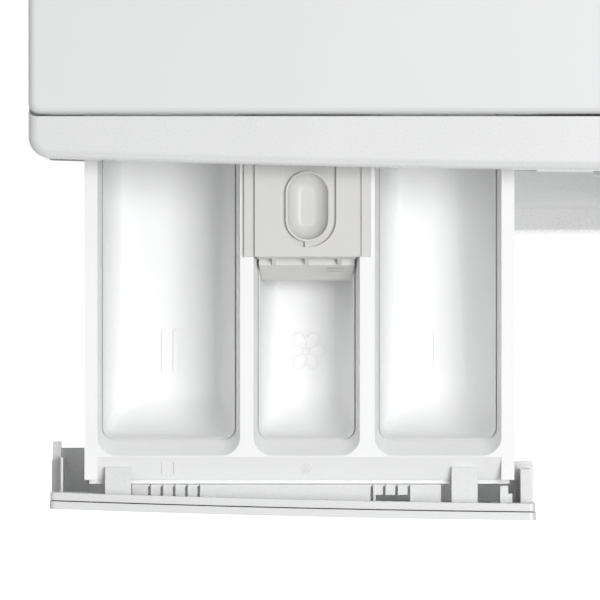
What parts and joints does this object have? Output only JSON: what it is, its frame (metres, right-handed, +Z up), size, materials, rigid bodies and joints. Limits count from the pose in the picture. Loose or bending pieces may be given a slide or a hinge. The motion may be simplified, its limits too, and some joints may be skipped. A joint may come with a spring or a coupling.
{
  "type": "front load washing machine",
  "caption": "Free-standing front load washing machine with its detergent drawer pulled out, round glass door, bowed control panel and screw feet.",
  "frame": {"origin": "on the floor, under the middle of the whole outline with the detergent drawer out", "axes": "+X to the right of someone facing the machine, +Y from its front to its back, +Z up"},
  "size_m": [0.598, 0.7296, 0.846],
  "materials": {
    "enamel": "smooth white enamel",
    "galvanised": "galvanised sheet",
    "white_moulding": "satin white moulding",
    "tray_moulding": "smooth white polypropylene",
    "insert_moulding": "warm light grey moulding",
    "laminate": "white laminate on chipboard",
    "tinted_window": "dark tinted window",
    "circuit": "green board",
    "knob_moulding": "satin light grey",
    "button_moulding": "satin light grey",
    "bright_trim": "bright metallic plating",
    "door_glass": "clear moulded glass",
    "grey_moulding": "grey polypropylene",
    "dark_moulding": "black moulding",
    "gasket_rubber": "grey rubber",
    "black_rubber": "black rubber",
    "stainless": "polished stainless sheet",
    "cast_aluminium": "as cast",
    "concrete": "rough concrete",
    "iron": "dark laminated iron",
    "zinc_steel": "zinc plated"
  },
  "bodies": {
    "cabinet": {"side_panel_left": "enamel", "side_panel_right": "enamel", "rear_panel": "galvanised", "rear_access_cover": "galvanised", "rear_fixings": "zinc_steel", "front_panel": "enamel", "base_tray": "dark_moulding", "top_rails": "galvanised", "worktop": "laminate", "fascia": "white_moulding", "display_window": "tinted_window", "control_board": "circuit", "dispenser_housing": "grey_moulding", "dispenser_lid": "grey_moulding", "inlet_valve": "white_moulding", "kick_plate": "white_moulding", "door_lock": "dark_moulding", "door_hinge_bracket": "zinc_steel", "door_gasket": "gasket_rubber", "drain_pump": "white_moulding", "sump_hose": "black_rubber", "drain_outlet": "dark_moulding", "cord_gland": "dark_moulding", "fill_hose": "black_rubber", "damper_cylinders": "dark_moulding", "suspension_springs": "zinc_steel"},
    "drawer": {"drawer_tray": "tray_moulding", "drawer_front": "white_moulding", "drawer_trim": "white_moulding"},
    "insert": {"siphon_insert": "insert_moulding"},
    "knob": {"selector_knob": "knob_moulding"},
    "power_key": {"power_button": "button_moulding"},
    "start_key": {"start_button": "button_moulding"},
    "temperature_key": {"temperature_button": "button_moulding"},
    "spin_key": {"spin_button": "button_moulding"},
    "door": {"door_outer_ring": "white_moulding", "door_trim_ring": "bright_trim", "door_inner_ring": "white_moulding", "door_glass": "door_glass", "door_hinge_arm": "zinc_steel"},
    "hook": {"door_hook": "zinc_steel"},
    "flap": {"service_flap": "white_moulding"},
    "filter": {"filter_cap": "dark_moulding"},
    "tub": {"tub_front": "grey_moulding", "tub_rear": "grey_moulding", "counterweights": "concrete", "heater": "zinc_steel", "tub_bearings": "zinc_steel", "motor_housing": "cast_aluminium", "drive_belt": "black_rubber", "damper_rods": "dark_moulding"},
    "drum": {"drum_shell": "stainless", "drum_spider": "cast_aluminium", "drum_lifters": "grey_moulding", "drum_pulley": "cast_aluminium"},
    "rotor": {"motor_rotor": "iron"},
    "foot_fl": {"foot_front_left": "black_rubber"},
    "foot_fr": {"foot_front_right": "black_rubber"},
    "foot_rl": {"foot_rear_left": "black_rubber"},
    "foot_rr": {"foot_rear_right": "black_rubber"}
  },
  "joints": [
    {"name": "drawer_slide", "type": "slide", "parent": "cabinet", "child": "drawer", "axis": [0, -1, 0], "range_m": [-0.1474, 0]},
    {"name": "insert_lift", "type": "slide", "parent": "drawer", "child": "insert", "axis": [0, 0, 1], "range_m": [0, 0.01]},
    {"name": "knob_turn", "type": "hinge", "parent": "cabinet", "child": "knob", "pos_m": [0.006, -0.22723, 0.781], "axis": [0, -1, 0], "continuous": true},
    {"name": "power_press", "type": "slide", "parent": "cabinet", "child": "power_key", "axis": [0, 1, 0], "range_m": [0, 0.0015], "stiffness_N_per_m": 800, "springref_m": -0.0005},
    {"name": "start_press", "type": "slide", "parent": "cabinet", "child": "start_key", "axis": [0, 1, 0], "range_m": [0, 0.0015], "stiffness_N_per_m": 800, "springref_m": -0.0005},
    {"name": "temperature_press", "type": "slide", "parent": "cabinet", "child": "temperature_key", "axis": [0, 1, 0], "range_m": [0, 0.0015], "stiffness_N_per_m": 800, "springref_m": -0.0005},
    {"name": "spin_press", "type": "slide", "parent": "cabinet", "child": "spin_key", "axis": [0, 1, 0], "range_m": [0, 0.0015], "stiffness_N_per_m": 800, "springref_m": -0.0005},
    {"name": "door_swing", "type": "hinge", "parent": "cabinet", "child": "door", "pos_m": [-0.236, -0.21923, 0.4], "axis": [0, 0, -1], "range_deg": [0, 130]},
    {"name": "hook_pivot", "type": "hinge", "parent": "door", "child": "hook", "pos_m": [0.217, -0.20653, 0.4], "axis": [0, 0, 1], "range_deg": [0, 5], "stiffness_Nm_per_rad": 1, "springref_deg": -5.73},
    {"name": "flap_swing", "type": "hinge", "parent": "cabinet", "child": "flap", "pos_m": [0.214, -0.19163, 0.0292], "axis": [1, 0, 0], "range_deg": [0, 95]},
    {"name": "filter_turn", "type": "hinge", "parent": "cabinet", "child": "filter", "pos_m": [0.209, -0.17873, 0.058], "axis": [0, -1, 0], "range_deg": [-90, 0]},
    {"name": "tub_bounce", "type": "slide", "parent": "cabinet", "child": "tub", "axis": [0, 0, 1], "range_m": [-0.008, 0.008], "stiffness_N_per_m": 12000, "springref_m": 0.02698, "deforming": ["suspension_springs", "door_gasket", "sump_hose", "fill_hose"]},
    {"name": "drum_spin", "type": "hinge", "parent": "tub", "child": "drum", "pos_m": [0, 0.20077, 0.4], "axis": [0, 1, 0], "continuous": true},
    {"name": "motor_spin", "type": "hinge", "parent": "tub", "child": "rotor", "pos_m": [0.11, 0.25277, 0.094], "axis": [0, 1, 0], "continuous": true},
    {"name": "foot_fl_turn", "type": "hinge", "parent": "cabinet", "child": "foot_fl", "pos_m": [-0.255, -0.14723, 0], "axis": [0, 0, 1], "continuous": true},
    {"name": "foot_fr_turn", "type": "hinge", "parent": "cabinet", "child": "foot_fr", "pos_m": [0.255, -0.14723, 0], "axis": [0, 0, 1], "continuous": true},
    {"name": "foot_rl_turn", "type": "hinge", "parent": "cabinet", "child": "foot_rl", "pos_m": [-0.255, 0.29877, 0], "axis": [0, 0, 1], "continuous": true},
    {"name": "foot_rr_turn", "type": "hinge", "parent": "cabinet", "child": "foot_rr", "pos_m": [0.255, 0.29877, 0], "axis": [0, 0, 1], "continuous": true}
  ],
  "couplings": [
    {"joint": "motor_spin", "follows": "drum_spin", "ratio": 12.5}
  ]
}
